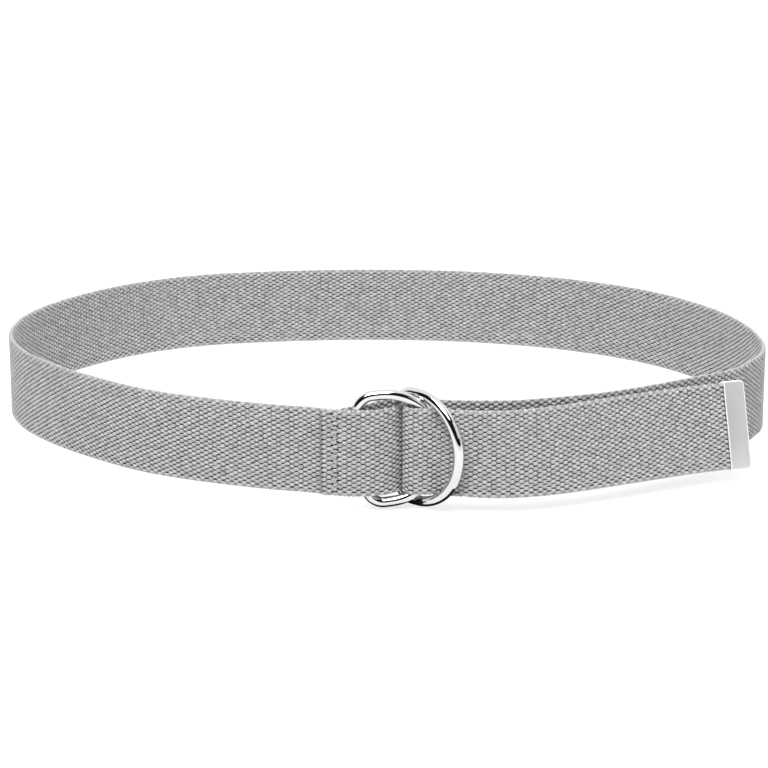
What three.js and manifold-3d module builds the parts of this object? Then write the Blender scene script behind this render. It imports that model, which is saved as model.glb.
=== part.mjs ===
// Double ring belt: one length of canvas webbing, two D-rings and a metal strap end.
//
// Millimetres, +Z up. X runs across the belt as seen from in front, and Y runs from the
// rings at the front to the back of the waist. The belt stands on its edge: on the bottoms
// of the rings in front, and on the lower edge of the webbing at the back.

import * as THREE from 'three';
import { mergeVertices } from 'three/addons/utils/BufferGeometryUtils.js';
import Module from 'manifold-3d';

// Webbing, and the middle line of the closed waist
const strapWidth = 38;
const strapThickness = 1.6;
const waistWidth = 359;
const waistDepth = 277;

// Clearance between pieces that touch on the real belt
const gap = 0.3;

// D-ring: a round wire bent to a half circle with two short legs and a straight bar
const wire = 4.2;
const ringRadius = 24.1;
const ringLegs = 10.4;
const ringCorner = 7.6;

// The middle of each bar in plan, and how the ring hangs from it: swing turns the arc
// towards the front, roll lets the ring turn in its own plane, and rise is how far the
// ring's middle is above the webbing's
const innerRing = { barX: -9.8, barY: 9.2, swing: -3, roll: 7, rise: 1.2 };
const outerRing = { barX: 6.7, barY: 21.7, swing: 43, roll: 0.5, rise: 0.35 };

// Sewn fixed end: where its raw end lies behind the strap, as lengths past the inner bar
const sewnLap = 17;

// Metal strap end: a folded cap over the last of the tail
const tipLength = 10;
const tipSheet = 0.6;
const tipCorner = 2.4;

const halfStrap = strapThickness / 2;
const middle = strapWidth / 2;
// From the middle of a wire to the middle of webbing that lies against it, and round it
const reach = wire / 2 + gap + halfStrap;
const slack = 0.7;
const layer = strapThickness + gap;

const radians = THREE.MathUtils.degToRad;

// A place on the webbing's middle line: x and y in plan, the lift of its middle, the angle
// in degrees by which its lower edge stands out in front of its upper edge, and the cup by
// which both edges lie behind its middle
function place(x, y, { lift = 0, flare = 0, cup = 0 } = {}) {
  return { x, y, lift, flare, cup };
}

// Webbing round a bar, at an angle from +X round towards the back
function round(ring, angle) {
  const turn = radians(angle);
  const far = reach + slack;
  return place(ring.barX + far * Math.cos(turn), ring.barY + far * Math.sin(turn), { lift: 0.6 });
}

// Rows of x as a share of half the waist's width, y as a share of its depth
function fromShares(rows) {
  return rows.map((row) => place(row.x * waistWidth / 2, row.y * waistDepth, row));
}

// From the left of the rings, round the back, to the right of the rings
const waist = [
  { x: -0.174, y: 0.041 },
  { x: -0.280, y: 0.059 },
  { x: -0.386, y: 0.083 },
  { x: -0.495, y: 0.113 },
  { x: -0.605, y: 0.154 },
  { x: -0.722, y: 0.218 },
  { x: -0.846, y: 0.302 },
  { x: -0.942, y: 0.394 },
  { x: -0.993, y: 0.490 },
  { x: -0.996, y: 0.590 },
  { x: -0.958, y: 0.682 },
  { x: -0.866, y: 0.784 },
  { x: -0.723, y: 0.883 },
  { x: -0.540, y: 0.950 },
  { x: -0.278, y: 0.987 },
  { x: 0.000, y: 0.997 },
  { x: 0.268, y: 0.978 },
  { x: 0.534, y: 0.919 },
  { x: 0.752, y: 0.823 },
  { x: 0.896, y: 0.702 },
  { x: 0.968, y: 0.590 },
  { x: 0.996, y: 0.480 },
  { x: 0.988, y: 0.394 },
  { x: 0.947, y: 0.330 },
  { x: 0.884, y: 0.268 },
  { x: 0.770, y: 0.215 },
  { x: 0.608, y: 0.149 },
  { x: 0.505, y: 0.117 },
  { x: 0.404, y: 0.095 },
  { x: 0.306, y: 0.080 },
];

// The tail to its end
const tail = [
  { x: 0.196, y: 0.0152, lift: 0.5, cup: 0.2 },
  { x: 0.240, y: 0.0135, lift: 0.2, flare: 1 },
  { x: 0.301, y: 0.0171, flare: 3.5 },
  { x: 0.401, y: 0.0350, flare: 7 },
  { x: 0.501, y: 0.0660, flare: 11 },
  { x: 0.607, y: 0.1010, flare: 14.5 },
  { x: 0.691, y: 0.1280, flare: 15.5 },
  { x: 0.780, y: 0.1550, flare: 16 },
  { x: 0.897, y: 0.1830, flare: 16 },
];

// Sewn end: from the raw end along the back of both bars, round the outer ring's bar and
// back in front of both. The inner bar leans, so the webbing clears its ends too.
const barLean = (ringRadius - ringCorner) * Math.sin(radians(innerRing.roll));
const frontY = innerRing.barY - reach;
const sewnEnd = [
  place(innerRing.barX - sewnLap, frontY + layer + 0.1),
  place(innerRing.barX - 0.6 * sewnLap, frontY + layer + 0.3),
  place(innerRing.barX - barLean - 2.6, innerRing.barY + reach - 0.4),
  place(innerRing.barX + 1.5, innerRing.barY + reach + 2.2),
  place(innerRing.barX + 8.5, outerRing.barY + reach - 2.2),
  round(outerRing, 100),
  round(outerRing, 50),
  round(outerRing, 0),
  round(outerRing, -45),
  place(innerRing.barX + 16.4, frontY + 7.2, { lift: 0.4 }),
  place(innerRing.barX + 12.4, frontY + 3.3, { lift: 0.2 }),
  place(innerRing.barX + 7.5, frontY + 0.9),
  place(innerRing.barX + 1, frontY),
  place(innerRing.barX - 7, frontY + 0.2),
];

// The strap comes from the right behind both arcs, up through both rings beside the sewn
// end, and turns back in front of the inner ring's arc and behind the outer ring's
const besideX = outerRing.barX + reach + slack + layer;
const arcFront = innerRing.barY - 25 * Math.sin(radians(innerRing.swing)) - reach;
const fold = [
  place(besideX + 16, 21.4, { lift: 0.3 }),
  place(besideX + 3.6, 22.8, { lift: 0.5 }),
  place(besideX + 0.1, outerRing.barY - 1.2, { lift: 0.6 }),
  place(besideX - 1.3, 16.2, { lift: 0.65 }),
  place(besideX - 3.2, 12.6, { lift: 0.65 }),
  place(besideX - 3.4, arcFront + 2.6, { lift: 0.65 }),
  place(besideX - 1.2, arcFront + 0.1, { lift: 0.6 }),
  place(besideX + 2.1, arcFront - 0.6, { lift: 0.5, cup: 0.3 }),
  place(besideX + 6.1, arcFront - 0.45, { lift: 0.35, cup: 0.5 }),
  place(besideX + 10.6, arcFront - 0.05, { lift: 0.35, cup: 1.4 }),
  place(besideX + 13.1, arcFront - 0.6, { lift: 0.3, cup: 1.3 }),
  place(besideX + 16.6, arcFront - 2.0, { lift: 0.25, cup: 0.8 }),
];

const route = [...sewnEnd, ...fromShares(waist), ...fold, ...fromShares(tail)];

// Smooth line through the route, with sections closer together where it bends
const line = new THREE.CatmullRomCurve3(
  route.map(({ x, y }) => new THREE.Vector3(x, y, 0)), false, 'centripetal');
const longestStep = 16;
const turnPerStep = radians(13);

function sectionAt(t) {
  const spans = route.length - 1;
  const index = Math.min(Math.floor(t * spans), spans - 1);
  const between = t * spans - index;
  const [from, to] = [route[index], route[index + 1]];
  const lift = THREE.MathUtils.lerp(from.lift, to.lift, between);
  const flare = radians(THREE.MathUtils.lerp(from.flare, to.flare, between));
  const cup = THREE.MathUtils.lerp(from.cup, to.cup, between);
  const tangent = line.getTangent(t).setZ(0).normalize();
  const side = new THREE.Vector3(tangent.y, -tangent.x, 0);
  const up = new THREE.Vector3(0, 0, Math.cos(flare)).addScaledVector(side, -Math.sin(flare));
  const across = new THREE.Vector3().crossVectors(tangent, up);
  const centre = line.getPoint(t).setZ(middle + lift);
  return { centre, tangent, up, across, cup };
}

function sectionsAlong() {
  const spans = route.length - 1;
  const sections = [];
  for (let index = 0; index < spans; index++) {
    const [start, end] = [index / spans, (index + 1) / spans];
    const length = line.getPoint(start).distanceTo(line.getPoint(end));
    const half = (start + end) / 2;
    const turn = line.getTangent(start).angleTo(line.getTangent(half))
      + line.getTangent(half).angleTo(line.getTangent(end));
    const steps = Math.max(1, Math.ceil(length / longestStep), Math.ceil(turn / turnPerStep));
    for (let step = 0; step < steps; step++) {
      sections.push(sectionAt(start + (end - start) * step / steps));
    }
  }
  sections.push(sectionAt(1));
  return sections;
}

// Webbing: a ribbon with square edges, closed at both ends. Heights across it run from the
// lower edge to the upper one, as shares of half its width.
const acrossRibbon = [-1, -0.6, 0, 0.6, 1];

function ribbon(sections) {
  const rim = [
    ...acrossRibbon.map((high) => ({ out: 1, high })),
    ...acrossRibbon.toReversed().map((high) => ({ out: -1, high })),
  ];
  const positions = [];
  for (const { centre, up, across, cup } of sections) {
    for (const { out, high } of rim) {
      const corner = centre.clone()
        .addScaledVector(across, out * halfStrap - cup * high * high)
        .addScaledVector(up, high * strapWidth / 2);
      positions.push(corner.x, corner.y, corner.z);
    }
  }
  const count = rim.length;
  const faces = [];
  for (let row = 0; row < sections.length - 1; row++) {
    for (let corner = 0; corner < count; corner++) {
      const a = row * count + corner;
      const b = row * count + (corner + 1) % count;
      faces.push(a, b + count, b, a, a + count, b + count);
    }
  }
  const last = (sections.length - 1) * count;
  for (let low = 0; low < acrossRibbon.length - 1; low++) {
    const [front, back] = [low, count - 1 - low];
    faces.push(front, front + 1, back - 1, front, back - 1, back);
    faces.push(last + front, last + back - 1, last + front + 1);
    faces.push(last + front, last + back, last + back - 1);
  }
  const geometry = new THREE.BufferGeometry();
  geometry.setAttribute('position', new THREE.Float32BufferAttribute(positions, 3));
  geometry.setIndex(faces);
  geometry.computeVertexNormals();
  return geometry;
}

// D-ring in its own plane: x along the legs from the bar, z up
class RingLine extends THREE.Curve {
  constructor() {
    super();
    const side = ringRadius;
    const corner = ringCorner;
    this.outline = new THREE.Path()
      .moveTo(corner, -side)
      .lineTo(ringLegs, -side)
      .absarc(ringLegs, 0, side, -Math.PI / 2, Math.PI / 2, false)
      .lineTo(corner, side)
      .absarc(corner, side - corner, corner, Math.PI / 2, Math.PI, false)
      .lineTo(0, corner - side)
      .absarc(corner, corner - side, corner, Math.PI, Math.PI * 1.5, false);
  }

  getPoint(t) {
    const point = this.outline.getPoint(t);
    return new THREE.Vector3(point.x, 0, point.y);
  }
}

const aroundRing = 84;
const aroundWire = 12;

function ring(name, { barX, barY, swing, roll, rise }) {
  const geometry = new THREE.TubeGeometry(new RingLine(), aroundRing, wire / 2, aroundWire, true);
  geometry.deleteAttribute('normal');
  geometry.deleteAttribute('uv');
  const closed = mergeVertices(geometry, 0.001);
  closed.translate(-ringLegs, 0, 0);
  closed.rotateY(-radians(roll));
  closed.translate(ringLegs, 0, 0);
  closed.rotateZ(-radians(swing));
  closed.computeVertexNormals();
  const mesh = new THREE.Mesh(closed, chrome);
  mesh.name = name;
  mesh.position.set(barX, barY, middle + rise);
  return mesh;
}

const wasm = await Module();
wasm.setup();

function solid(geometry) {
  geometry.deleteAttribute('normal');
  geometry.deleteAttribute('uv');
  const merged = mergeVertices(geometry, 0.0005);
  return new wasm.Manifold(new wasm.Mesh({
    numProp: 3,
    vertProperties: new Float32Array(merged.attributes.position.array),
    triVerts: new Uint32Array(merged.index.array),
  }));
}

function geometryOf(body) {
  const mesh = body.getMesh();
  const geometry = new THREE.BufferGeometry();
  geometry.setAttribute('position', new THREE.Float32BufferAttribute(mesh.vertProperties, 3));
  geometry.setIndex([...mesh.triVerts]);
  geometry.computeVertexNormals();
  return geometry;
}

// Strap end: a sheet cap, closed at its end and along both edges, that the tail goes into.
// Its own x runs along the tail from its mouth, y through its thickness and z up.
const tipThickness = strapThickness + 2 * (gap + tipSheet);
const tipHeight = strapWidth + 2 * (gap + tipSheet);

function tipGeometry() {
  const high = tipHeight / 2;
  const outline = new THREE.Shape()
    .moveTo(0, -high)
    .lineTo(tipLength - tipCorner, -high)
    .absarc(tipLength - tipCorner, -high + tipCorner, tipCorner, -Math.PI / 2, 0, false)
    .lineTo(tipLength, high - tipCorner)
    .absarc(tipLength - tipCorner, high - tipCorner, tipCorner, 0, Math.PI / 2, false)
    .lineTo(0, high);
  const cap = new THREE.ExtrudeGeometry(outline, {
    depth: tipThickness, bevelEnabled: false, curveSegments: 5,
  });
  cap.rotateX(Math.PI / 2);
  cap.translate(0, tipThickness / 2, 0);
  const pocketLength = 2 * (tipLength - tipSheet);
  const pocket = new THREE.BoxGeometry(
    pocketLength, strapThickness + 2 * gap, strapWidth + 2 * gap);
  return geometryOf(solid(cap).subtract(solid(pocket)));
}

const canvas = new THREE.MeshStandardMaterial({ color: 0xbdbdbb, roughness: 0.9, metalness: 0 });
const chrome = new THREE.MeshStandardMaterial({ color: 0xe6e8ea, roughness: 0.08, metalness: 1 });
const nickel = new THREE.MeshStandardMaterial({ color: 0xd9dadb, roughness: 0.3, metalness: 1 });

const belt = new THREE.Group();

const strap = new THREE.Mesh(ribbon(sectionsAlong()), canvas);
strap.name = 'strap';
belt.add(strap);

const inner = ring('inner_ring', innerRing);
const outer = ring('outer_ring', outerRing);
belt.add(inner, outer);

// The cap covers the tail's end, and the tail stops short of the cap's closed end
const tailEnd = sectionAt(1);
const tip = new THREE.Mesh(tipGeometry(), nickel);
tip.name = 'strap_tip';
const tipBasis = new THREE.Matrix4().makeBasis(
  tailEnd.tangent, tailEnd.across.clone().negate(), tailEnd.up);
tip.quaternion.setFromRotationMatrix(tipBasis);
tip.position.copy(tailEnd.centre)
  .addScaledVector(tailEnd.tangent, tipSheet + gap - tipLength);
belt.add(tip);

// The belt stands on the lower ring and on the webbing's lower edge at the back, so it
// tilts until both are on the ground, and its origin is under the middle of its box
function bounds(...objects) {
  const box = new THREE.Box3();
  objects.forEach((object) => box.union(new THREE.Box3().setFromObject(object, true)));
  return box;
}

const back = bounds(strap).max.y;
for (const { geometry, position } of [inner, outer]) {
  const points = geometry.attributes.position;
  for (let index = 0; index < points.count; index++) {
    const behind = back - position.y - points.getY(index);
    const lean = Math.atan2(position.z + points.getZ(index), behind);
    belt.rotation.x = Math.min(belt.rotation.x, lean);
  }
}
belt.updateMatrixWorld(true);
const box = bounds(belt);
const centre = box.getCenter(new THREE.Vector3());
belt.position.set(-centre.x, -centre.y, -box.min.z);

export default belt;
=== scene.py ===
# Looks of the double ring belt: canvas webbing with its woven yarns and stitches, two
# polished D-rings and a folded metal strap end, standing on a pale floor.

import math
import random

import bmesh
import bpy
import numpy as np
from mathutils import Matrix, Vector


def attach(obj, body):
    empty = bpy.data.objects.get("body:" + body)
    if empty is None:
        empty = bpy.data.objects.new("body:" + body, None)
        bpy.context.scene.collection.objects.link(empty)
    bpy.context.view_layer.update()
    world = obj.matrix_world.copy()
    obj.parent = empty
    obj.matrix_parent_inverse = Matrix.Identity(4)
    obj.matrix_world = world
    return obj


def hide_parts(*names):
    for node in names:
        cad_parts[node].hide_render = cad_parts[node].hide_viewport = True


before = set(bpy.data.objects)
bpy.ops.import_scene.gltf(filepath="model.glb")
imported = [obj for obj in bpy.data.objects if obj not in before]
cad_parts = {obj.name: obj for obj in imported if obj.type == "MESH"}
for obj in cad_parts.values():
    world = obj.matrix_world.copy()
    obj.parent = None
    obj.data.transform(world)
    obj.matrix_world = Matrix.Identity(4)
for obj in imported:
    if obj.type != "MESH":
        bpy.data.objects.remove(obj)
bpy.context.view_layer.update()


# Webbing ground. The belt is one 38 mm wide length of cotton canvas webbing. This is the
# closely packed inside of the weave, painted dark as the shade between the yarns. Its line
# follows the real strap: doubled round the ring bars, round the waist, and through both
# rings.
MM = 0.001
STRAP_WIDTH = 38.0
STRAP_THICKNESS = 1.6
GROUND_THICKNESS = 1.0
WAIST_WIDTH = 359.0
WAIST_DEPTH = 277.0
GAP = 0.3
LAYER = STRAP_THICKNESS + GAP
WIRE = 4.2
RING_RADIUS = 24.1
RING_CORNER = 7.6
REACH = WIRE / 2 + GAP + STRAP_THICKNESS / 2
SLACK = 0.7
INNER_RING = {"bar_x": -9.8, "bar_y": 9.2, "swing": -3, "roll": 7, "rise": 1.2}
OUTER_RING = {"bar_x": 6.7, "bar_y": 21.7, "swing": 43, "roll": 0.5, "rise": 0.35}
SEWN_LAP = 17.0

# The belt rests on the back of the webbing and the bottom of the lower ring, so it leans
LEAN = math.radians(-1.51043)
FOOT = Vector((0.33486, -137.28105, 7.3023))
TO_ROW = (Matrix.Diagonal((MM, MM, MM, 1)) @ Matrix.Translation(FOOT)
          @ Matrix.Rotation(LEAN, 4, "X"))


def place(x, y, lift=0.0, flare=0.0, cup=0.0):
    """A point of the strap's line: where it is, how far its middle is lifted, the outward
    lean of its lower edge in degrees, and how far its middle bulges."""
    return {"x": x, "y": y, "lift": lift, "flare": math.radians(flare), "cup": cup}


def round_bar(ring, angle):
    turn = math.radians(angle)
    far = REACH + SLACK
    lift = 0.6
    return place(ring["bar_x"] + far * math.cos(turn),
                 ring["bar_y"] + far * math.sin(turn), lift)


def from_shares(rows):
    """Points given by x as a share of half the waist's width and y of its depth."""
    return [place(row[0] * WAIST_WIDTH / 2, row[1] * WAIST_DEPTH, *row[2:]) for row in rows]


waist = from_shares([
    (-0.174, 0.041), (-0.280, 0.059), (-0.386, 0.083), (-0.495, 0.113), (-0.605, 0.154),
    (-0.722, 0.218), (-0.846, 0.302), (-0.942, 0.394), (-0.993, 0.490), (-0.996, 0.590),
    (-0.958, 0.682), (-0.866, 0.784), (-0.723, 0.883), (-0.540, 0.950), (-0.278, 0.987),
    (0.000, 0.997), (0.268, 0.978), (0.534, 0.919), (0.752, 0.823), (0.896, 0.702),
    (0.968, 0.590), (0.996, 0.480), (0.988, 0.394), (0.947, 0.330), (0.884, 0.268),
    (0.770, 0.215), (0.608, 0.149), (0.505, 0.117), (0.404, 0.095), (0.306, 0.080),
])

tail = from_shares([
    (0.196, 0.0152, 0.5, 0, 0.2), (0.240, 0.0135, 0.2, 1), (0.301, 0.0171, 0, 3.5),
    (0.401, 0.0350, 0, 7), (0.501, 0.0660, 0, 11), (0.607, 0.1010, 0, 14.5),
    (0.691, 0.1280, 0, 15.5), (0.780, 0.1550, 0, 16), (0.897, 0.1830, 0, 16),
])

# From the raw end, behind the inner ring's bar and round the outer ring's, then back along
# the front as the outer layer. Small offsets in millimetres keep it clear of the wires.
inner_x, inner_y = INNER_RING["bar_x"], INNER_RING["bar_y"]
bar_lean = (RING_RADIUS - RING_CORNER) * math.sin(math.radians(INNER_RING["roll"]))
front_y = inner_y - REACH
sewn_end = [
    place(inner_x - SEWN_LAP, front_y + LAYER + 0.1),
    place(inner_x - 0.6 * SEWN_LAP, front_y + LAYER + 0.3),
    place(inner_x - bar_lean - 2.6, inner_y + REACH - 0.4),
    place(inner_x + 1.5, inner_y + REACH + 2.2),
    place(inner_x + 8.5, OUTER_RING["bar_y"] + REACH - 2.2),
    round_bar(OUTER_RING, 100),
    round_bar(OUTER_RING, 50),
    round_bar(OUTER_RING, 0),
    round_bar(OUTER_RING, -45),
    place(inner_x + 16.4, front_y + 7.2, 0.4),
    place(inner_x + 12.4, front_y + 3.3, 0.2),
    place(inner_x + 7.5, front_y + 0.9),
    place(inner_x + 1, front_y),
    place(inner_x - 7, front_y + 0.2),
]

# Up behind both rings, between their bars and arcs, then over the inner ring's arc, 25 mm
# out from its bar, and under the outer ring's
FOLD_OUT = 25
beside_x = OUTER_RING["bar_x"] + REACH + SLACK + LAYER
arc_front = inner_y - FOLD_OUT * math.sin(math.radians(INNER_RING["swing"])) - REACH
fold = [
    place(beside_x + 16, 21.4, 0.3),
    place(beside_x + 3.6, 22.8, 0.5),
    place(beside_x + 0.1, OUTER_RING["bar_y"] - 1.2, 0.6),
    place(beside_x - 1.3, 16.2, 0.65),
    place(beside_x - 3.2, 12.6, 0.65),
    place(beside_x - 3.4, arc_front + 2.6, 0.65),
    place(beside_x - 1.2, arc_front + 0.1, 0.6),
    place(beside_x + 2.1, arc_front - 0.6, 0.5, 0, 0.3),
    place(beside_x + 6.1, arc_front - 0.45, 0.35, 0, 0.5),
    place(beside_x + 10.6, arc_front - 0.05, 0.35, 0, 1.4),
    place(beside_x + 13.1, arc_front - 0.6, 0.3, 0, 1.3),
    place(beside_x + 16.6, arc_front - 2.0, 0.25, 0, 0.8),
]

route = sewn_end + waist + fold + tail


def span(index, share):
    """Point and direction on a centripetal Catmull-Rom curve through the route."""
    at = [np.array((row["x"], row["y"])) for row in route]
    at = [2 * at[0] - at[1], *at, 2 * at[-1] - at[-2]]
    p0, p1, p2, p3 = at[index:index + 4]
    d0, d1, d2 = (math.sqrt(np.linalg.norm(b - a))
                  for a, b in ((p0, p1), (p1, p2), (p2, p3)))
    leave = ((p1 - p0) / d0 - (p2 - p0) / (d0 + d1) + (p2 - p1) / d1) * d1
    reach = ((p2 - p1) / d1 - (p3 - p1) / (d1 + d2) + (p3 - p2) / d2) * d1
    c2 = 3 * (p2 - p1) - 2 * leave - reach
    c3 = 2 * (p1 - p2) + leave + reach
    point = p1 + leave * share + c2 * share ** 2 + c3 * share ** 3
    heading = leave + 2 * c2 * share + 3 * c3 * share ** 2
    return point, heading / np.linalg.norm(heading)


def section(index, share):
    """The webbing's middle, direction, height direction and thickness direction."""
    point, heading = span(index, share)
    low, high = route[index], route[index + 1]
    lift, flare, cup = (low[key] + (high[key] - low[key]) * share
                        for key in ("lift", "flare", "cup"))
    along = Vector((*heading, 0))
    side = Vector((along.y, -along.x, 0))
    up = Vector((0, 0, math.cos(flare))) - side * math.sin(flare)
    return {"centre": Vector((*point, STRAP_WIDTH / 2 + lift)), "along": along, "up": up,
            "across": along.cross(up), "cup": cup}


LONGEST_STEP = 3.0
TURN_PER_STEP = math.radians(7)
sections = []
for index in range(len(route) - 1):
    start, middle, end = (section(index, share) for share in (0, 0.5, 1))
    length = (end["centre"] - start["centre"]).length
    turn = start["along"].angle(middle["along"]) + middle["along"].angle(end["along"])
    steps = max(1, math.ceil(length / LONGEST_STEP), math.ceil(turn / TURN_PER_STEP))
    sections += [section(index, step / steps) for step in range(steps)]
sections.append(section(len(route) - 2, 1))
sections[0]["run"] = 0.0
for before, after in zip(sections, sections[1:]):
    after["run"] = before["run"] + (after["centre"] - before["centre"]).length
STRAP_LENGTH = sections[-1]["run"]

# The rim of a section, from the lower edge up the inner face and down the outer one:
# thickness and height as shares of half the ground's, and the way round it in millimetres
FACE_TOP = 0.985
EDGE_HALF = 0.4
inner_rim = [(1, high) for high in (-FACE_TOP, -0.66, -0.33, 0, 0.33, 0.66, FACE_TOP)]
outer_rim = [(-1, high) for _, high in reversed(inner_rim)]
rim = [*inner_rim, (EDGE_HALF, 1), (-EDGE_HALF, 1), *outer_rim, (-EDGE_HALF, -1),
       (EDGE_HALF, -1)]


def on_section(part, out, high):
    bulge = part["cup"] * high * high
    return (part["centre"] + part["across"] * (out * GROUND_THICKNESS / 2 - bulge)
            + part["up"] * (high * STRAP_WIDTH / 2))


rim_points = [Vector((out * GROUND_THICKNESS / 2, high * STRAP_WIDTH / 2))
              for out, high in rim]
rim_way = [0.0]
for here, following in zip(rim_points, rim_points[1:] + rim_points[:1]):
    rim_way.append(rim_way[-1] + (following - here).length)
ALL_ROUND = rim_way[-1]
UPPER_EDGE = (rim_way[7] + rim_way[8]) / 2
OUTER_FACE = rim_way[9]
LOWER_EDGE = (rim_way[16] + rim_way[17]) / 2

# The UV map "lay" holds the length along the strap and the way round it, as shares of the
# strap's length
corners = [TO_ROW @ on_section(part, out, high) for part in sections for out, high in rim]
count = len(rim)
faces, lays = [], []
for row in range(len(sections) - 1):
    for corner in range(count):
        a, b = row * count + corner, row * count + (corner + 1) % count
        faces.append((a, a + count, b + count, b))
        low, high = rim_way[corner], rim_way[corner + 1]
        start, end = sections[row]["run"], sections[row + 1]["run"]
        lays += [(start, low), (end, low), (end, high), (start, high)]
last = (len(sections) - 1) * count
faces += [tuple(range(count)), tuple(last + corner for corner in reversed(range(count)))]
lays += [(0.0, -1.0)] * (2 * count)
ground_mesh = bpy.data.meshes.new("webbing_ground")
ground_mesh.from_pydata(corners, [], faces)
ground_mesh.uv_layers.new(name="lay")
ground_mesh.uv_layers["lay"].data.foreach_set(
    "uv", [value / STRAP_LENGTH for lay in lays for value in lay])
ground_mesh.shade_smooth()
ground_mesh.validate()


def linear(code):
    """An sRGB hex colour as linear red, green, blue and alpha."""
    levels = [int(code[start:start + 2], 16) / 255 for start in (0, 2, 4)]
    return (*(level / 12.92 if level <= 0.04045 else ((level + 0.055) / 1.055) ** 2.4
              for level in levels), 1.0)


def node(tree, kind, inputs=None, **settings):
    """A new node. An input is a value, a socket to link, or a node for its first output."""
    made = tree.nodes.new(kind)
    for name, value in settings.items():
        setattr(made, name, value)
    for name, value in (inputs or {}).items():
        if isinstance(value, bpy.types.Node):
            value = value.outputs[0]
        if isinstance(value, bpy.types.NodeSocket):
            tree.links.new(value, made.inputs[name])
        else:
            made.inputs[name].default_value = value
    return made


def finish(name):
    """The tree, the Principled shader and the material itself, new."""
    made = bpy.data.materials.new(name)
    made.use_nodes = True
    return made.node_tree, made.node_tree.nodes["Principled BSDF"], made


def in_scene(name, data):
    made = bpy.data.objects.new(name, data)
    bpy.context.scene.collection.objects.link(made)
    return made


# Packed cotton, with its filling yarns beaten up tight. Hardly any light comes back from
# between the yarns, so its colour is painted shade: near black, mottled at random. At the
# selvedge it lies bare, so the painted shade is left off and it shows pale cotton there.
CLUMP = 0.3
SELVEDGE = 1.0
SELVEDGE_FADE = 0.5
tree, shader, painted_shade_ground = finish("painted_shade_ground")
shader.inputs["Roughness"].default_value = 0.95
in_place = node(tree, "ShaderNodeTexCoord").outputs["Object"]
clumps = node(tree, "ShaderNodeTexNoise", {
    "Vector": in_place, "Scale": 1 / (CLUMP * MM), "Detail": 2})
# Painted shade between the floats, mottled at random
shades = node(tree, "ShaderNodeMixRGB", {
    "Fac": clumps.outputs["Fac"], "Color1": linear("202020"), "Color2": linear("464646")})
lay = node(tree, "ShaderNodeSeparateXYZ", {0: node(tree, "ShaderNodeUVMap", uv_map="lay")})
from_top = node(tree, "ShaderNodeMath", {
    0: lay.outputs["Y"], 1: STRAP_LENGTH, 2: -UPPER_EDGE}, operation="MULTIPLY_ADD")
from_edge = node(tree, "ShaderNodeMath", {0: from_top, 1: ALL_ROUND / 4},
                 operation="PINGPONG")
bare = node(tree, "ShaderNodeMapRange", {
    "Value": from_edge, "From Min": SELVEDGE, "From Max": SELVEDGE + SELVEDGE_FADE,
    "To Min": 1.0, "To Max": 0.0})
# The pale edge colour is the cotton without the painted shade
edged = node(tree, "ShaderNodeMixRGB", {
    "Fac": bare, "Color1": shades, "Color2": linear("a4a4a4")})
tree.links.new(edged.outputs["Color"], shader.inputs["Base Color"])
ground_mesh.materials.append(painted_shade_ground)

ground = in_scene("webbing_ground", ground_mesh)
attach(ground, "root")
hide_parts("strap")


# Woven yarns. The webbing is a plain weave of 36 thick cotton ends over hidden picks, woven
# to its width on a narrow loom. So each face is all short floats, laid like bricks, and the
# edges are small loops where the filling turns back.
PICK = 2.0
END = 1.058
ENDS = 36
COLUMNS = int(STRAP_LENGTH / PICK)
FLOAT_TIP = 1.48
FLOAT_SHOULDER = 0.66
FLOAT_HALF = 0.93
FLOAT_RIDGE = 0.4
YARN_HEIGHT = 0.47
YARN_SINK = 0.12

float_mesh = bpy.data.meshes.new("float_form")
form = bmesh.new()
rings = []
for x in (-FLOAT_SHOULDER, FLOAT_SHOULDER):
    rings.append([form.verts.new((x, y, z)) for y, z in (
        (-FLOAT_HALF, -YARN_SINK), (FLOAT_HALF, -YARN_SINK),
        (FLOAT_RIDGE, YARN_HEIGHT), (-FLOAT_RIDGE, YARN_HEIGHT))])
near = form.verts.new((-FLOAT_TIP, 0, -YARN_SINK))
far = form.verts.new((FLOAT_TIP, 0, -YARN_SINK))
for corner in range(4):
    after = (corner + 1) % 4
    form.faces.new((rings[0][corner], rings[1][corner], rings[1][after], rings[0][after]))
    form.faces.new((near, rings[0][corner], rings[0][after]))
    form.faces.new((far, rings[1][after], rings[1][corner]))
bmesh.ops.recalc_face_normals(form, faces=form.faces)
twist_way = form.loops.layers.uv.new("twist")
for face in form.faces:
    for loop in face.loops:
        loop[twist_way].uv = loop.vert.co.xy
form.transform(Matrix.Scale(MM, 4))
form.to_mesh(float_mesh)
form.free()
float_form = in_scene("float_form", float_mesh)

# Cotton yarn, ring spun and plied, left undyed and unglazed. It is dull and light grey: no
# gloss, a faint bloom of stray fibres, strands that slant across each float, and slubs that
# run a few millimetres along a yarn. One fibre is 0.012 mm thick, too fine to show, so it
# only roughens the light. The strands' twist is drawn coarser than it is, so that it shows:
# a stripe of the wave texture at scale 1 is a twentieth of a turn wide.
STRAND = 0.7
STRAND_SLANT = 55
STRAND_SHADE_SHARE = 0.56
TONE_SHARE = 0.22
SLUB_LONG = 7.5
FIBRE_LONG = 0.085
FIBRE_THICK = 0.012
RELIEF = 0.12
WAVE_PERIOD = math.tau / 20
tree, shader, yarn = finish("cotton_yarn")
shader.inputs["Roughness"].default_value = 0.85
shader.inputs["Sheen Weight"].default_value = 0.15
shader.inputs["Sheen Roughness"].default_value = 0.5
tone = node(tree, "ShaderNodeAttribute", attribute_name="tone")
in_place = node(tree, "ShaderNodeTexCoord").outputs["Object"]
slub_way = node(tree, "ShaderNodeMapping", {
    "Vector": in_place, "Scale": [1 / (size * MM) for size in (SLUB_LONG, SLUB_LONG, END)]})
slubs = node(tree, "ShaderNodeTexNoise", {"Vector": slub_way, "Scale": 1.0, "Detail": 3})
slant = node(tree, "ShaderNodeMapping", {
    "Vector": node(tree, "ShaderNodeUVMap", uv_map="twist"),
    "Rotation": (0, 0, math.radians(STRAND_SLANT))})
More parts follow.
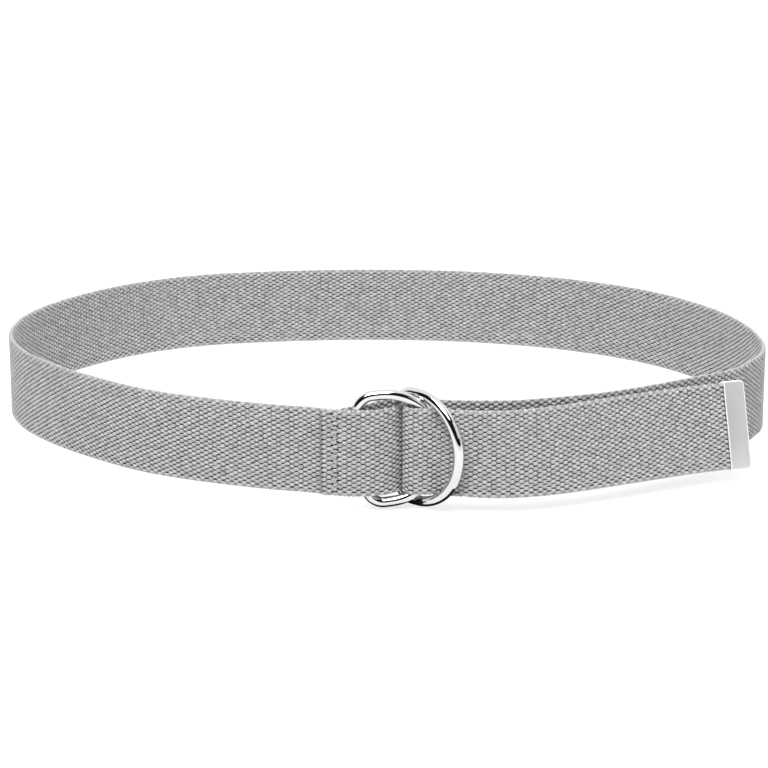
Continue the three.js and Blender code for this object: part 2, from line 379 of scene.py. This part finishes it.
strands = node(tree, "ShaderNodeTexWave", {
    "Vector": slant, "Scale": WAVE_PERIOD / STRAND, "Distortion": 2.5, "Detail": 2.0})
yarn_tone = node(tree, "ShaderNodeMath", {0: tone.outputs["Fac"], 1: slubs.outputs["Fac"]},
                 operation="ADD")
yarn_tone = node(tree, "ShaderNodeMath", {0: yarn_tone, 1: TONE_SHARE},
                 operation="MULTIPLY")
# The strands' stripes darken the colour in the grooves between them: painted shade
shared = node(tree, "ShaderNodeMath", {
    0: strands.outputs["Fac"], 1: STRAND_SHADE_SHARE, 2: yarn_tone}, operation="MULTIPLY_ADD")
shades = node(tree, "ShaderNodeMixRGB", {
    "Fac": shared, "Color1": linear("7c7c7c"), "Color2": linear("dcdcdc")})
tree.links.new(shades.outputs["Color"], shader.inputs["Base Color"])
fibre_way = node(tree, "ShaderNodeMapping", {
    "Vector": in_place,
    "Scale": [1 / (size * MM) for size in (FIBRE_LONG, FIBRE_LONG, FIBRE_THICK)]})
fibres = node(tree, "ShaderNodeTexNoise", {"Vector": fibre_way, "Scale": 1.0, "Detail": 2})
relief = node(tree, "ShaderNodeMath", {0: strands.outputs["Fac"], 1: fibres.outputs["Fac"]},
              operation="ADD")
rough = node(tree, "ShaderNodeBump", {
    "Strength": 0.9, "Distance": RELIEF * MM, "Height": relief})
tree.links.new(rough.outputs["Normal"], shader.inputs["Normal"])


def socket(tree, name, kind, start=None, out=False):
    """A named input, or output, of a Geometry Nodes tree. Its identifier comes back."""
    made = tree.interface.new_socket(
        name, in_out="OUTPUT" if out else "INPUT", socket_type="NodeSocket" + kind)
    if start is not None:
        made.default_value = start
    return made.identifier


# The weave: one float for each column and every second row, looked up on the ground by its
# UV map, turned along the strap, and pressed down or left out near a needle hole
UNEVEN_ALONG = 0.07
UNEVEN_ACROSS = 0.06
LOOK_AHEAD = 0.3
HOLE_CLEAR = 0.35
PRESSED_FROM = 0.4
PRESSED_TO = 1.6
PRESSED = 0.7
weave = bpy.data.node_groups.new("weave", "GeometryNodeTree")
weave_inputs = {name: socket(weave, name, kind, start) for name, kind, start in (
    ("Ground", "Geometry", None), ("Float", "Object", None), ("Holes", "Object", None),
    ("Columns", "Int", 10), ("Rows", "Int", 1), ("Pick", "Float", 0.1),
    ("End", "Float", 0.1), ("First Row", "Float", 0.0), ("Shift", "Int", 0),
    ("Length", "Float", 1.0), ("Size", "Vector", (1, 1, 1)), ("Yarn", "Material", None),
    ("Seed", "Int", 0))}
socket(weave, "Floats", "Geometry", out=True)
given = node(weave, "NodeGroupInput").outputs
index = node(weave, "GeometryNodeInputIndex")
total = node(weave, "ShaderNodeMath", {0: given["Columns"], 1: given["Rows"]},
             operation="MULTIPLY")
column = node(weave, "ShaderNodeMath", {0: index, 1: given["Rows"]}, operation="DIVIDE")
column = node(weave, "ShaderNodeMath", {0: column}, operation="FLOOR")
row = node(weave, "ShaderNodeMath", {0: column, 1: given["Rows"]}, operation="MULTIPLY")
row = node(weave, "ShaderNodeMath", {0: index, 1: row}, operation="SUBTRACT")
odd = node(weave, "ShaderNodeMath", {0: column, 1: given["Shift"]}, operation="ADD")
odd = node(weave, "ShaderNodeMath", {0: odd, 1: 2.0}, operation="FLOORED_MODULO")
uneven = node(weave, "FunctionNodeRandomValue", {
    "Min": (-UNEVEN_ALONG, -UNEVEN_ACROSS, 0), "Max": (UNEVEN_ALONG, UNEVEN_ACROSS, 0),
    "Seed": given["Seed"]}, data_type="FLOAT_VECTOR")
uneven = node(weave, "ShaderNodeSeparateXYZ", {0: uneven.outputs["Value"]}).outputs
run = node(weave, "ShaderNodeMath", {0: column, 1: 0.5}, operation="ADD")
run = node(weave, "ShaderNodeMath", {0: run, 1: uneven["X"]}, operation="ADD")
run = node(weave, "ShaderNodeMath", {0: run, 1: given["Pick"]}, operation="MULTIPLY")
way = node(weave, "ShaderNodeMath", {0: row, 1: 2.0, 2: odd}, operation="MULTIPLY_ADD")
way = node(weave, "ShaderNodeMath", {0: way, 1: uneven["Y"]}, operation="ADD")
way = node(weave, "ShaderNodeMath", {0: way, 1: given["End"], 2: given["First Row"]},
           operation="MULTIPLY_ADD")
way = node(weave, "ShaderNodeMath", {0: way, 1: given["Length"]}, operation="DIVIDE")
lay = node(weave, "GeometryNodeInputNamedAttribute", {"Name": "lay"},
           data_type="FLOAT_VECTOR")
position = node(weave, "GeometryNodeInputPosition")
normal = node(weave, "GeometryNodeInputNormal")
ahead_run = node(weave, "ShaderNodeMath", {0: run, 1: LOOK_AHEAD}, operation="ADD")
behind_run = node(weave, "ShaderNodeMath", {0: run, 1: LOOK_AHEAD}, operation="SUBTRACT")
looked_up = []
for value, run_at in ((position, run), (position, ahead_run), (position, behind_run),
                      (normal, run)):
    at = node(weave, "ShaderNodeMath", {0: run_at, 1: given["Length"]}, operation="DIVIDE")
    at = node(weave, "ShaderNodeCombineXYZ", {"X": at, "Y": way})
    looked_up.append(node(weave, "GeometryNodeSampleUVSurface", {
        "Mesh": given["Ground"], "Value": value, "Source UV Map": lay, "Sample UV": at},
        data_type="FLOAT_VECTOR").outputs)
here, ahead, behind, facing = looked_up
points = node(weave, "GeometryNodePoints", {"Count": total, "Position": here["Value"]})
heading = node(weave, "ShaderNodeVectorMath", {0: ahead["Value"], 1: behind["Value"]},
               operation="SUBTRACT")
turned = node(weave, "FunctionNodeAxesToRotation", {
    "Primary Axis": facing["Value"], "Secondary Axis": heading},
    primary_axis="Z", secondary_axis="X")
holes = node(weave, "GeometryNodeObjectInfo", {"Object": given["Holes"]})
to_hole = node(weave, "GeometryNodeProximity", {0: holes.outputs["Geometry"]},
               target_element="POINTS").outputs["Distance"]
pressed = node(weave, "ShaderNodeMapRange", {
    "Value": to_hole, "From Min": PRESSED_FROM * MM, "From Max": PRESSED_TO * MM,
    "To Min": PRESSED, "To Max": 1.0})
pressed = node(weave, "ShaderNodeCombineXYZ", {"X": 1.0, "Y": 1.0, "Z": pressed})
size = node(weave, "ShaderNodeVectorMath", {0: given["Size"], 1: pressed},
            operation="MULTIPLY")
clear = node(weave, "FunctionNodeCompare", {0: to_hole, 1: HOLE_CLEAR * MM},
             operation="GREATER_THAN")
on_strap = node(weave, "FunctionNodeBooleanMath", {
    0: here["Is Valid"], 1: ahead["Is Valid"]}, operation="AND")
kept = node(weave, "FunctionNodeBooleanMath", {0: on_strap, 1: clear}, operation="AND")
source = node(weave, "GeometryNodeObjectInfo", {"Object": given["Float"]})
placed = node(weave, "GeometryNodeInstanceOnPoints", {
    "Points": points, "Selection": kept, "Instance": source.outputs["Geometry"],
    "Rotation": turned, "Scale": size})
dealt = node(weave, "FunctionNodeRandomValue", {
    "Min": 0.0, "Max": 1.0, "Seed": given["Seed"]}, data_type="FLOAT").outputs[1]
toned = node(weave, "GeometryNodeStoreNamedAttribute", {
    "Geometry": placed, "Name": "tone", "Value": dealt},
    data_type="FLOAT", domain="INSTANCE")
real = node(weave, "GeometryNodeRealizeInstances", {0: toned})
smooth = node(weave, "GeometryNodeSetShadeSmooth", {0: real})
done = node(weave, "GeometryNodeSetMaterial", {
    "Geometry": smooth, "Material": given["Yarn"]})
node(weave, "NodeGroupOutput", {"Floats": done})


def settle(source, name):
    """The evaluated shape of source as a plain mesh object at the origin."""
    bpy.context.view_layer.update()
    seen = source.evaluated_get(bpy.context.evaluated_depsgraph_get())
    mesh = bpy.data.meshes.new_from_object(seen)
    bpy.data.objects.remove(source)
    return in_scene(name, mesh)


# Where the needle went through the sewn end: a zigzag of holes from edge to edge, on the
# strap's inner layer and on the outer one. The layers are told apart by their length along
# the strap.
SEAM_X = -20.8
SEAM_HALF = 1.15
SEAM_MARGIN = 1.5
STITCH = 1.75
SEWN_LAYERS = ((0, 25), (60, 110))
seams = []
for first, last in SEWN_LAYERS:
    holes = []
    for step in range(int((STRAP_WIDTH - 2 * SEAM_MARGIN) / STITCH) + 1):
        x = SEAM_X + (SEAM_HALF if step % 2 else -SEAM_HALF)
        part = min((part for part in sections if first < part["run"] < last),
                   key=lambda part: abs(part["centre"].x - x))
        high = (SEAM_MARGIN + step * STITCH) / STRAP_WIDTH * 2 - 1
        at = on_section(part, -1, high)
        at += part["along"] * ((x - part["centre"].x) / part["along"].x)
        holes.append(TO_ROW @ at)
    seams.append((holes, (TO_ROW.to_3x3() @ -part["across"]).normalized()))
hole_mesh = bpy.data.meshes.new("needle_holes")
hole_mesh.from_pydata([hole for holes, _ in seams for hole in holes], [], [])
hole_points = in_scene("needle_holes", hole_mesh)


def weave_over(name, **values):
    made = in_scene(name, ground_mesh.copy())
    modifier = made.modifiers.new("weave", "NODES")
    modifier.node_group = weave
    values = {"Float": float_form, "Holes": hole_points, "Columns": COLUMNS, "Pick": PICK,
              "End": END, "Length": STRAP_LENGTH, "Yarn": yarn, **values}
    for key, value in values.items():
        modifier[weave_inputs[key]] = value
    made = settle(made, name)
    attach(made, "root")


EDGE_SIZE = (0.8, 0.8, 0.8)
FIRST_END = (STRAP_WIDTH - END * (ENDS - 1)) / 2 - (1 - FACE_TOP) * STRAP_WIDTH / 2
weave_over("weave_inner_face", Rows=ENDS // 2, Shift=0, Seed=1,
           **{"First Row": FIRST_END, "Size": (1, 1, 1)})
weave_over("weave_outer_face", Rows=ENDS // 2, Shift=1, Seed=2,
           **{"First Row": OUTER_FACE + FIRST_END, "Size": (1, 1, 1)})
weave_over("weave_upper_edge", Rows=1, Shift=0, Seed=3, End=0.0,
           **{"First Row": UPPER_EDGE, "Size": EDGE_SIZE})
weave_over("weave_lower_edge", Rows=1, Shift=0, Seed=4, End=0.0,
           **{"First Row": LOWER_EDGE, "Size": EDGE_SIZE})
for spent in (float_form, hole_points):
    bpy.data.objects.remove(spent)


# Raw end. Behind the sewn end the webbing is cut straight across with shears and not
# sealed, so the ends of its 36 cotton yarns fray out a little way past the last pick.
FRAY = 1.5
FRAY_SIDES = 5
FRAY_RINGS = ((-0.3, 0.45), (0.6, 0.35))
chance = random.Random(5)

# Each yarn end is a stub of two rings and a point. A ring is given by its share of the way
# out and its radius.
fray = bmesh.new()
cut = sections[0]
for step in range(ENDS):
    root = on_section(cut, chance.uniform(-0.6, 0.6), (step + 0.5) / ENDS * 2 - 1)
    way_out = (-cut["along"] * chance.uniform(0.5, 1)
               + cut["up"] * chance.uniform(-0.3, 0.3)
               + cut["across"] * chance.uniform(-0.2, 0.2)) * FRAY
    loops = []
    for share, radius in FRAY_RINGS:
        turns = [math.tau * side / FRAY_SIDES for side in range(FRAY_SIDES)]
        loops.append([fray.verts.new(TO_ROW @ (
            root + way_out * share
            + radius * (cut["up"] * math.cos(turn) + cut["across"] * math.sin(turn))))
            for turn in turns])
    point = fray.verts.new(TO_ROW @ (root + way_out))
    fray.faces.new(loops[0])
    for side in range(FRAY_SIDES):
        after = (side + 1) % FRAY_SIDES
        fray.faces.new((loops[0][side], loops[0][after], loops[1][after], loops[1][side]))
        fray.faces.new((loops[1][side], loops[1][after], point))
bmesh.ops.recalc_face_normals(fray, faces=fray.faces)


def as_mesh(name, form, *materials):
    """A finished bmesh as a smooth mesh in its materials."""
    mesh = bpy.data.meshes.new(name)
    form.to_mesh(mesh)
    form.free()
    for material in materials:
        mesh.materials.append(material)
    mesh.shade_smooth()
    return mesh


frayed = in_scene("frayed_yarns", as_mesh("frayed_yarns", fray, yarn))
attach(frayed, "root")


# Stitches of the sewn end. Pale cotton thread, machine sewn in a zigzag through the doubled
# webbing and pulled tight, so each stitch dips into a needle hole at both its ends.
THREAD = 0.34
THREAD_BOW = 0.55
THREAD_SIDES = 8
THREAD_POINTS = 7

# Cotton sewing thread, plied and waxed, a little smoother and paler than the yarns round it
PLY = 0.1
tree, shader, thread = finish("waxed_cotton_thread")
shader.inputs["Base Color"].default_value = linear("bcbcbc")
shader.inputs["Roughness"].default_value = 0.7
plies = node(tree, "ShaderNodeTexNoise", {
    "Vector": node(tree, "ShaderNodeTexCoord").outputs["Object"], "Scale": 1 / (PLY * MM),
    "Detail": 1})
rough = node(tree, "ShaderNodeBump", {
    "Strength": 0.3, "Distance": PLY * MM, "Height": plies.outputs["Fac"]})
tree.links.new(rough.outputs["Normal"], shader.inputs["Normal"])

stitching = bpy.data.node_groups.new("stitching", "GeometryNodeTree")
stitch_inputs = {name: socket(stitching, name, kind, start) for name, kind, start in (
    ("Spans", "Geometry", None), ("Out", "Vector", (0, 0, 0)), ("Radius", "Float", 0.1),
    ("Thread", "Material", None))}
socket(stitching, "Stitches", "Geometry", out=True)
given = node(stitching, "NodeGroupInput").outputs
line = node(stitching, "GeometryNodeMeshToCurve", {0: given["Spans"]})
line = node(stitching, "GeometryNodeResampleCurve", {"Curve": line, "Count": THREAD_POINTS})
share = node(stitching, "GeometryNodeSplineParameter").outputs["Factor"]
bow = node(stitching, "ShaderNodeMath", {0: share, 1: math.pi}, operation="MULTIPLY")
bow = node(stitching, "ShaderNodeMath", {0: bow}, operation="SINE")
lifted = node(stitching, "ShaderNodeVectorMath", {0: given["Out"], "Scale": bow},
              operation="SCALE")
line = node(stitching, "GeometryNodeSetPosition", {"Geometry": line, "Offset": lifted})
circle = node(stitching, "GeometryNodeCurvePrimitiveCircle", {
    "Resolution": THREAD_SIDES, "Radius": given["Radius"]})
tube = node(stitching, "GeometryNodeCurveToMesh", {
    "Curve": line, "Profile Curve": circle, "Fill Caps": True})
real = node(stitching, "GeometryNodeRealizeInstances", {0: tube})
done = node(stitching, "GeometryNodeSetMaterial", {
    "Geometry": real, "Material": given["Thread"]})
node(stitching, "NodeGroupOutput", {"Stitches": done})

for name, (holes, out) in zip(("stitches_inside", "stitches_outside"), seams):
    ends = [hole for pair in zip(holes, holes[1:]) for hole in pair]
    spans = bpy.data.meshes.new(name)
    spans.from_pydata(ends, [(first, first + 1) for first in range(0, len(ends), 2)], [])
    source = in_scene(name, spans)
    modifier = source.modifiers.new("stitching", "NODES")
    modifier.node_group = stitching
    modifier[stitch_inputs["Out"]] = out * THREAD_BOW * MM
    modifier[stitch_inputs["Radius"]] = THREAD / 2 * MM
    modifier[stitch_inputs["Thread"]] = thread
    stitches = settle(source, name)
    stitches.data.shade_smooth()
    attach(stitches, "root")


# Needle holes. The needle pushed the yarns apart and the thread holds them so, which leaves
# a small flat pit at each end of a stitch. The pit's dark is painted shade: a small black
# lump sits in it.
HOLE_LONG = 0.7
HOLE_DEEP = 0.28
HOLE_HIGH = 0.46
HOLE_OUT = 0.45


def dent(form, at, matrix):
    """A small rounded lump, put in a pit as the pit's painted shade."""
    lump = bmesh.ops.create_icosphere(form, subdivisions=1, radius=1.0)["verts"]
    bmesh.ops.transform(form, verts=lump, matrix=at @ matrix)


# Cotton in the shade of a pit, which the eye sees as black, with no gloss
tree, shader, shaded_cotton = finish("shaded_cotton")
shader.inputs["Base Color"].default_value = linear("0c0c0c")
shader.inputs["Roughness"].default_value = 1.0
for name, (holes, out) in zip(("needle_holes_inside", "needle_holes_outside"), seams):
    pit_shade_form = bmesh.new()
    for hole in holes:
        dent(pit_shade_form, Matrix.Translation(hole + out * HOLE_OUT * MM),
             Matrix.Diagonal((HOLE_LONG * MM, HOLE_DEEP * MM, HOLE_HIGH * MM, 1)))
    made = in_scene(name, as_mesh(name, pit_shade_form, shaded_cotton))
    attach(made, "root")


# D-rings. Each is a steel wire bent to a half circle with two short legs and a straight
# bar, butt welded under the webbing, ground smooth and plated with nickel. They hang loose
# in the loop of the sewn end.
RING_LEGS = 10.4
SHOWN_WIRE = 4.6
ARC_STEPS = 72
CORNER_STEPS = 14
LEG_STEPS = 3
BAR_STEPS = 8
WIRE_SIDES = 32

# Nickel plate, polished on a buffing wheel: a mirror, a little grey, whose finest hairline
# scuffs, 0.2 mm apart, blur some of its reflections more than others
SCUFF = 0.2
tree, shader, polished_nickel = finish("polished_nickel")
shader.inputs["Base Color"].default_value = linear("d6d6d6")
shader.inputs["Metallic"].default_value = 1.0
scuffs = node(tree, "ShaderNodeTexNoise", {
    "Vector": node(tree, "ShaderNodeTexCoord").outputs["Object"], "Scale": 1 / (SCUFF * MM),
    "Detail": 4})
gloss = node(tree, "ShaderNodeMapRange", {
    "Value": scuffs.outputs["Fac"], "To Min": 0.03, "To Max": 0.1})
tree.links.new(gloss.outputs[0], shader.inputs["Roughness"])


def arc(x, z, radius, start, end, steps):
    turns = (math.radians(start + (end - start) * step / steps) for step in range(steps))
    return [Vector((x + radius * math.cos(turn), 0, z + radius * math.sin(turn)))
            for turn in turns]


def straight(start, end, steps):
    return [Vector(start).lerp(Vector(end), step / steps) for step in range(steps)]


def d_ring(name, node_name, ring):
    side, corner, legs = RING_RADIUS, RING_CORNER, RING_LEGS
    line = (straight((corner, 0, -side), (legs, 0, -side), LEG_STEPS)
            + arc(legs, 0, side, -90, 90, ARC_STEPS)
            + straight((legs, 0, side), (corner, 0, side), LEG_STEPS)
            + arc(corner, side - corner, corner, 90, 180, CORNER_STEPS)
            + straight((0, 0, side - corner), (0, 0, corner - side), BAR_STEPS)
            + arc(corner, corner - side, corner, 180, 270, CORNER_STEPS))
    points, faces = [], []
    for index, point in enumerate(line):
        along = (line[(index + 1) % len(line)] - line[index - 1]).normalized()
        out = along.cross(Vector((0, 1, 0)))
        for step in range(WIRE_SIDES):
            turn = math.tau * step / WIRE_SIDES
            points.append(point + (out * math.cos(turn) + Vector((0, math.sin(turn), 0)))
                          * SHOWN_WIRE / 2)
    for index in range(len(line)):
        here, after = index * WIRE_SIDES, (index + 1) % len(line) * WIRE_SIDES
        for step in range(WIRE_SIDES):
            following = (step + 1) % WIRE_SIDES
            faces.append((here + step, after + step, after + following, here + following))
    swing = Matrix.Rotation(-math.radians(ring["swing"]), 4, "Z")
    roll = Matrix.Rotation(-math.radians(ring["roll"]), 4, "Y")
    hang = Matrix.Translation((
        ring["bar_x"], ring["bar_y"], STRAP_WIDTH / 2 + ring["rise"]))
    turn = (swing @ Matrix.Translation((legs, 0, 0)) @ roll
            @ Matrix.Translation((-legs, 0, 0)))
    mesh = bpy.data.meshes.new(name)
    mesh.from_pydata([TO_ROW @ hang @ turn @ point for point in points], [], faces)
    mesh.shade_smooth()
    mesh.materials.append(polished_nickel)
    made = in_scene(name, mesh)
    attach(made, "root")
    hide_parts(node_name)


d_ring("d_ring_inner", "inner_ring", INNER_RING)
d_ring("d_ring_outer", "outer_ring", OUTER_RING)


# Strap end. A cap of 0.6 mm sheet steel, folded over the free end of the webbing and
# pressed shut along its edges and mouth, with its outer corners rounded off. It is plated
# with satin nickel.
TIP_LENGTH = 10.0
TIP_SHEET = 0.6
TIP_CORNER = 2.4
TIP_CORNER_STEPS = 8
TIP_EDGE = 0.5
TIP_EDGE_STEPS = 4
TIP_LIP = 0.3
TIP_LIP_STEPS = 2
TIP_THICKNESS = STRAP_THICKNESS + 2 * (GAP + TIP_SHEET)
TIP_HEIGHT = STRAP_WIDTH + 2 * (GAP + TIP_SHEET)
SHARPEST_ROUND = math.radians(38)
NARROW_SIDE = 0.2
EDGE_HIGHLIGHT = 1

# Satin nickel plate, over steel blasted with fine grit: an even soft sheen without a clear
# reflection. The grit's marks are 0.05 mm across.
GRIT = 0.05
tree, shader, satin_nickel = finish("satin_nickel")
shader.inputs["Base Color"].default_value = linear("e4e4e4")
shader.inputs["Metallic"].default_value = 1.0
blasted = node(tree, "ShaderNodeTexNoise", {
    "Vector": node(tree, "ShaderNodeTexCoord").outputs["Object"], "Scale": 1 / (GRIT * MM),
    "Detail": 3})
gloss = node(tree, "ShaderNodeMapRange", {
    "Value": blasted.outputs["Fac"], "To Min": 0.42, "To Max": 0.5})
tree.links.new(gloss.outputs[0], shader.inputs["Roughness"])

# The same plate, white and rough, on the rounded edges, the mouth's lip and the narrow
# sides: a painted highlight where they catch the light
tree, shader, edge_highlight_nickel = finish("edge_highlight_nickel")
shader.inputs["Base Color"].default_value = linear("fafafa")
shader.inputs["Metallic"].default_value = 1.0
shader.inputs["Roughness"].default_value = 0.85

straight_end = TIP_LENGTH - TIP_CORNER
half_straight = TIP_HEIGHT / 2 - TIP_CORNER
outline = [Vector((0, 0, -TIP_HEIGHT / 2)),
           *arc(straight_end, -half_straight, TIP_CORNER, -90, 0, TIP_CORNER_STEPS),
           Vector((TIP_LENGTH, 0, -half_straight)),
           *arc(straight_end, half_straight, TIP_CORNER, 0, 90, TIP_CORNER_STEPS),
           Vector((straight_end, 0, TIP_HEIGHT / 2)),
           Vector((0, 0, TIP_HEIGHT / 2))]
cap = bmesh.new()
sides = [[cap.verts.new(point + Vector((0, side * TIP_THICKNESS / 2, 0)))
          for point in outline] for side in (-1, 1)]
front = cap.faces.new(sides[0])
rear = cap.faces.new(reversed(sides[1]))
walls = []
for corner in range(len(outline)):
    after = (corner + 1) % len(outline)
    walls.append(cap.faces.new((sides[0][after], sides[0][corner], sides[1][corner],
                                sides[1][after])))
round_edges = [edge for edge in (*front.edges, *rear.edges)
               if walls[-1] not in edge.link_faces]
bmesh.ops.recalc_face_normals(cap, faces=cap.faces)
bmesh.ops.bevel(cap, geom=round_edges, offset=TIP_EDGE, segments=TIP_EDGE_STEPS,
                profile=0.5, affect="EDGES", material=EDGE_HIGHLIGHT)
# The narrow sides, facing up, down and off the end, get the painted highlight too
for face in cap.faces:
    if abs(face.normal.y) < NARROW_SIDE:
        face.material_index = EDGE_HIGHLIGHT


def mouth_face():
    return min(cap.faces, key=lambda face: face.calc_center_median().x)


bmesh.ops.bevel(cap, geom=list(mouth_face().edges), offset=TIP_LIP, segments=TIP_LIP_STEPS,
                profile=0.5, affect="EDGES", material=EDGE_HIGHLIGHT)
mouth = mouth_face()
bmesh.ops.inset_region(cap, faces=[mouth], thickness=TIP_SHEET - TIP_LIP,
                       use_even_offset=True)
deep = bmesh.ops.extrude_discrete_faces(cap, faces=[mouth])["faces"][0]
bmesh.ops.translate(cap, verts=deep.verts, vec=(TIP_LENGTH - 2 * TIP_SHEET, 0, 0))
bmesh.ops.recalc_face_normals(cap, faces=cap.faces)

free_end = sections[-1]
basis = Matrix((free_end["along"], -free_end["across"], free_end["up"]))
basis = basis.transposed().to_4x4()
seat = free_end["centre"] + free_end["along"] * (TIP_SHEET + GAP - TIP_LENGTH)
cap.transform(TO_ROW @ Matrix.Translation(seat) @ basis)
tip_mesh = as_mesh("strap_end_cap", cap, satin_nickel, edge_highlight_nickel)
tip_mesh.set_sharp_from_angle(angle=SHARPEST_ROUND)
tip = in_scene("strap_end_cap", tip_mesh)
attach(tip, "root")
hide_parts("strap_tip")


# Mouth nicks. Where the cap's mouth was pressed into the webbing, it leaves pits between
# the cotton yarns, of uneven size, on both faces. Their dark is painted shade: a small
# black lump in each.
NICKS = 17
NICK_PITCH = 2.1
NICK_WANDER = 0.3
NICK_BACK = 0.2
NICK_OUT = 0.35
NICK_LONG = 0.35
NICK_DEEP = 0.3
NICK_HIGH = 0.6
NICK_SMALLEST = 0.35
nick_shade_form = bmesh.new()
for step in range(NICKS):
    high = (step - NICKS // 2) * NICK_PITCH + chance.uniform(-NICK_WANDER, NICK_WANDER)
    for out in (-1, 1):
        size = chance.uniform(NICK_SMALLEST, 1.0)
        at = (seat - free_end["along"] * NICK_BACK + free_end["up"] * high
              + free_end["across"] * out * (GROUND_THICKNESS / 2 + NICK_OUT))
        dent(nick_shade_form, TO_ROW @ Matrix.Translation(at) @ basis,
             Matrix.Diagonal((NICK_LONG * size, NICK_DEEP, NICK_HIGH * size, 1)))
nick_shade_object = in_scene("mouth_nicks", as_mesh("mouth_nicks", nick_shade_form, shaded_cotton))
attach(nick_shade_object, "root")


# Floor. A sweep of white studio paper, matt, so bright that the belt's shadow is all that
# shows of it. It lies just under the loops of the webbing's lower edge.
FLOOR_HALF = 6.0
FLOOR_DROP = 0.4
tree, shader, white_paper = finish("white_paper")
shader.inputs["Base Color"].default_value = linear("a1a1a1")
shader.inputs["Roughness"].default_value = 0.9
shader.inputs["Emission Color"].default_value = linear("ffffff")
shader.inputs["Emission Strength"].default_value = 0.75
floor_mesh = bpy.data.meshes.new("floor")
floor_mesh.from_pydata([(-FLOOR_HALF, -FLOOR_HALF, 0), (FLOOR_HALF, -FLOOR_HALF, 0),
                        (FLOOR_HALF, FLOOR_HALF, 0), (-FLOOR_HALF, FLOOR_HALF, 0)],
                       [], [(0, 1, 2, 3)])
floor_mesh.materials.append(white_paper)
floor = in_scene("floor", floor_mesh)
floor.location.z = -FLOOR_DROP * MM

# A card of matt black paper lies under the rings, where only their polished metal sees it,
# and gives them the dark outlines that a photographer's flags would
tree, shader, black_card = finish("black_card")
shader.inputs["Base Color"].default_value = linear("080808")
shader.inputs["Roughness"].default_value = 1.0
card_mesh = bpy.data.meshes.new("ring_card")
card_mesh.from_pydata([(x * MM, y * MM, 0) for x, y in (
    (-18, -131), (8, -131), (15, -128), (33, -144), (60, -100), (-18, -100))],
    [], [(0, 1, 2, 3, 4, 5)])
card_mesh.materials.append(black_card)
card = in_scene("ring_card", card_mesh)
card.visible_camera = card.visible_diffuse = card.visible_shadow = False


# Light. A large soft box above the front lights the belt, a weak one fills from the right,
# and one behind lights the back of the belt, hidden from the polished metal.
AIM = Vector((0, 0, 0.02))


def softbox(name, at, size, power):
    light = bpy.data.lights.new(name, "AREA")
    light.shape = "RECTANGLE"
    light.size = light.size_y = size
    light.energy = power
    made = in_scene(name, light)
    made.location = at
    made.rotation_euler = (AIM - Vector(at)).to_track_quat("-Z", "Y").to_euler()
    return made


softbox("key_light", (-0.25, -1.0, 1.9), 1.3, 52)
softbox("fill_light", (1.2, -0.9, 0.9), 0.8, 2)
softbox("back_light", (0.3, 1.4, 1.5), 1.6, 30).visible_glossy = False

# What the polished rings see of the studio: white walls, and the dark room round the camera
# as one band from the far left to the right, between two heights in degrees. Everything
# else is lit by the plain white sky.
BAND_LOW = 6
BAND_LOW_EDGE = 2
BAND_HIGH = 64
BAND_HIGH_EDGE = 3
BAND_LEFT = (-92, -100)
BAND_RIGHT = (66, 84)
WHITE = linear("ffffff")
DARK_ROOM = linear("191919")
sky = bpy.data.worlds.new("studio")
sky.use_nodes = True
bpy.context.scene.world = sky
tree = sky.node_tree
backdrop = tree.nodes["Background"]
backdrop.inputs["Color"].default_value = WHITE
backdrop.inputs["Strength"].default_value = 0.44
seen = node(tree, "ShaderNodeBackground", {"Color": WHITE, "Strength": 1.0})
way = node(tree, "ShaderNodeSeparateXYZ", {
    0: node(tree, "ShaderNodeTexCoord").outputs["Generated"]}).outputs
climb = node(tree, "ShaderNodeMath", {0: way["Z"]}, operation="ARCSINE")
climb = node(tree, "ShaderNodeMath", {0: climb, 1: 1 / math.pi, 2: 0.5},
             operation="MULTIPLY_ADD")
band = node(tree, "ShaderNodeValToRGB", {"Fac": climb})
stops = band.color_ramp.elements
stops[0].position = 0.5 + (BAND_LOW - BAND_LOW_EDGE) / 180
stops[1].position = 0.5 + (BAND_HIGH + BAND_HIGH_EDGE) / 180
stops[0].color = stops[1].color = WHITE
for angle in (BAND_LOW, BAND_HIGH):
    stops.new(0.5 + angle / 180).color = DARK_ROOM
ahead = node(tree, "ShaderNodeMath", {0: way["Y"], 1: -1.0}, operation="MULTIPLY")
round_about = node(tree, "ShaderNodeMath", {0: way["X"], 1: ahead}, operation="ARCTAN2")
left, right = (node(tree, "ShaderNodeMapRange", {
    "Value": round_about, "From Min": math.radians(start), "From Max": math.radians(end)})
    for start, end in (BAND_LEFT, BAND_RIGHT))
beside = node(tree, "ShaderNodeMath", {0: left, 1: right}, operation="MAXIMUM")
walls = node(tree, "ShaderNodeMixRGB", {"Fac": beside, "Color1": band, "Color2": WHITE})
mirrored = node(tree, "ShaderNodeBackground", {"Color": walls, "Strength": 1.15})
ray = node(tree, "ShaderNodeLightPath").outputs
pick = node(tree, "ShaderNodeMixShader", {
    0: ray["Is Glossy Ray"], 1: backdrop, 2: mirrored})
pick = node(tree, "ShaderNodeMixShader", {0: ray["Is Camera Ray"], 1: pick, 2: seen})
tree.links.new(pick.outputs[0], tree.nodes["World Output"].inputs["Surface"])


# Camera. It looks down on the rings from in front, by the photograph's 17 degrees.
LOOK_DOWN = 17.0104
camera = bpy.data.cameras.new("camera")
camera.lens = 116.9
camera.sensor_width = 36
camera.clip_end = 50
viewer = in_scene("camera", camera)
viewer.location = (0.000335, -1.14652, 0.36814)
viewer.rotation_euler = (math.radians(90 - LOOK_DOWN), 0, 0)
bpy.context.scene.camera = viewer
bpy.context.scene.view_settings.view_transform = "Standard"
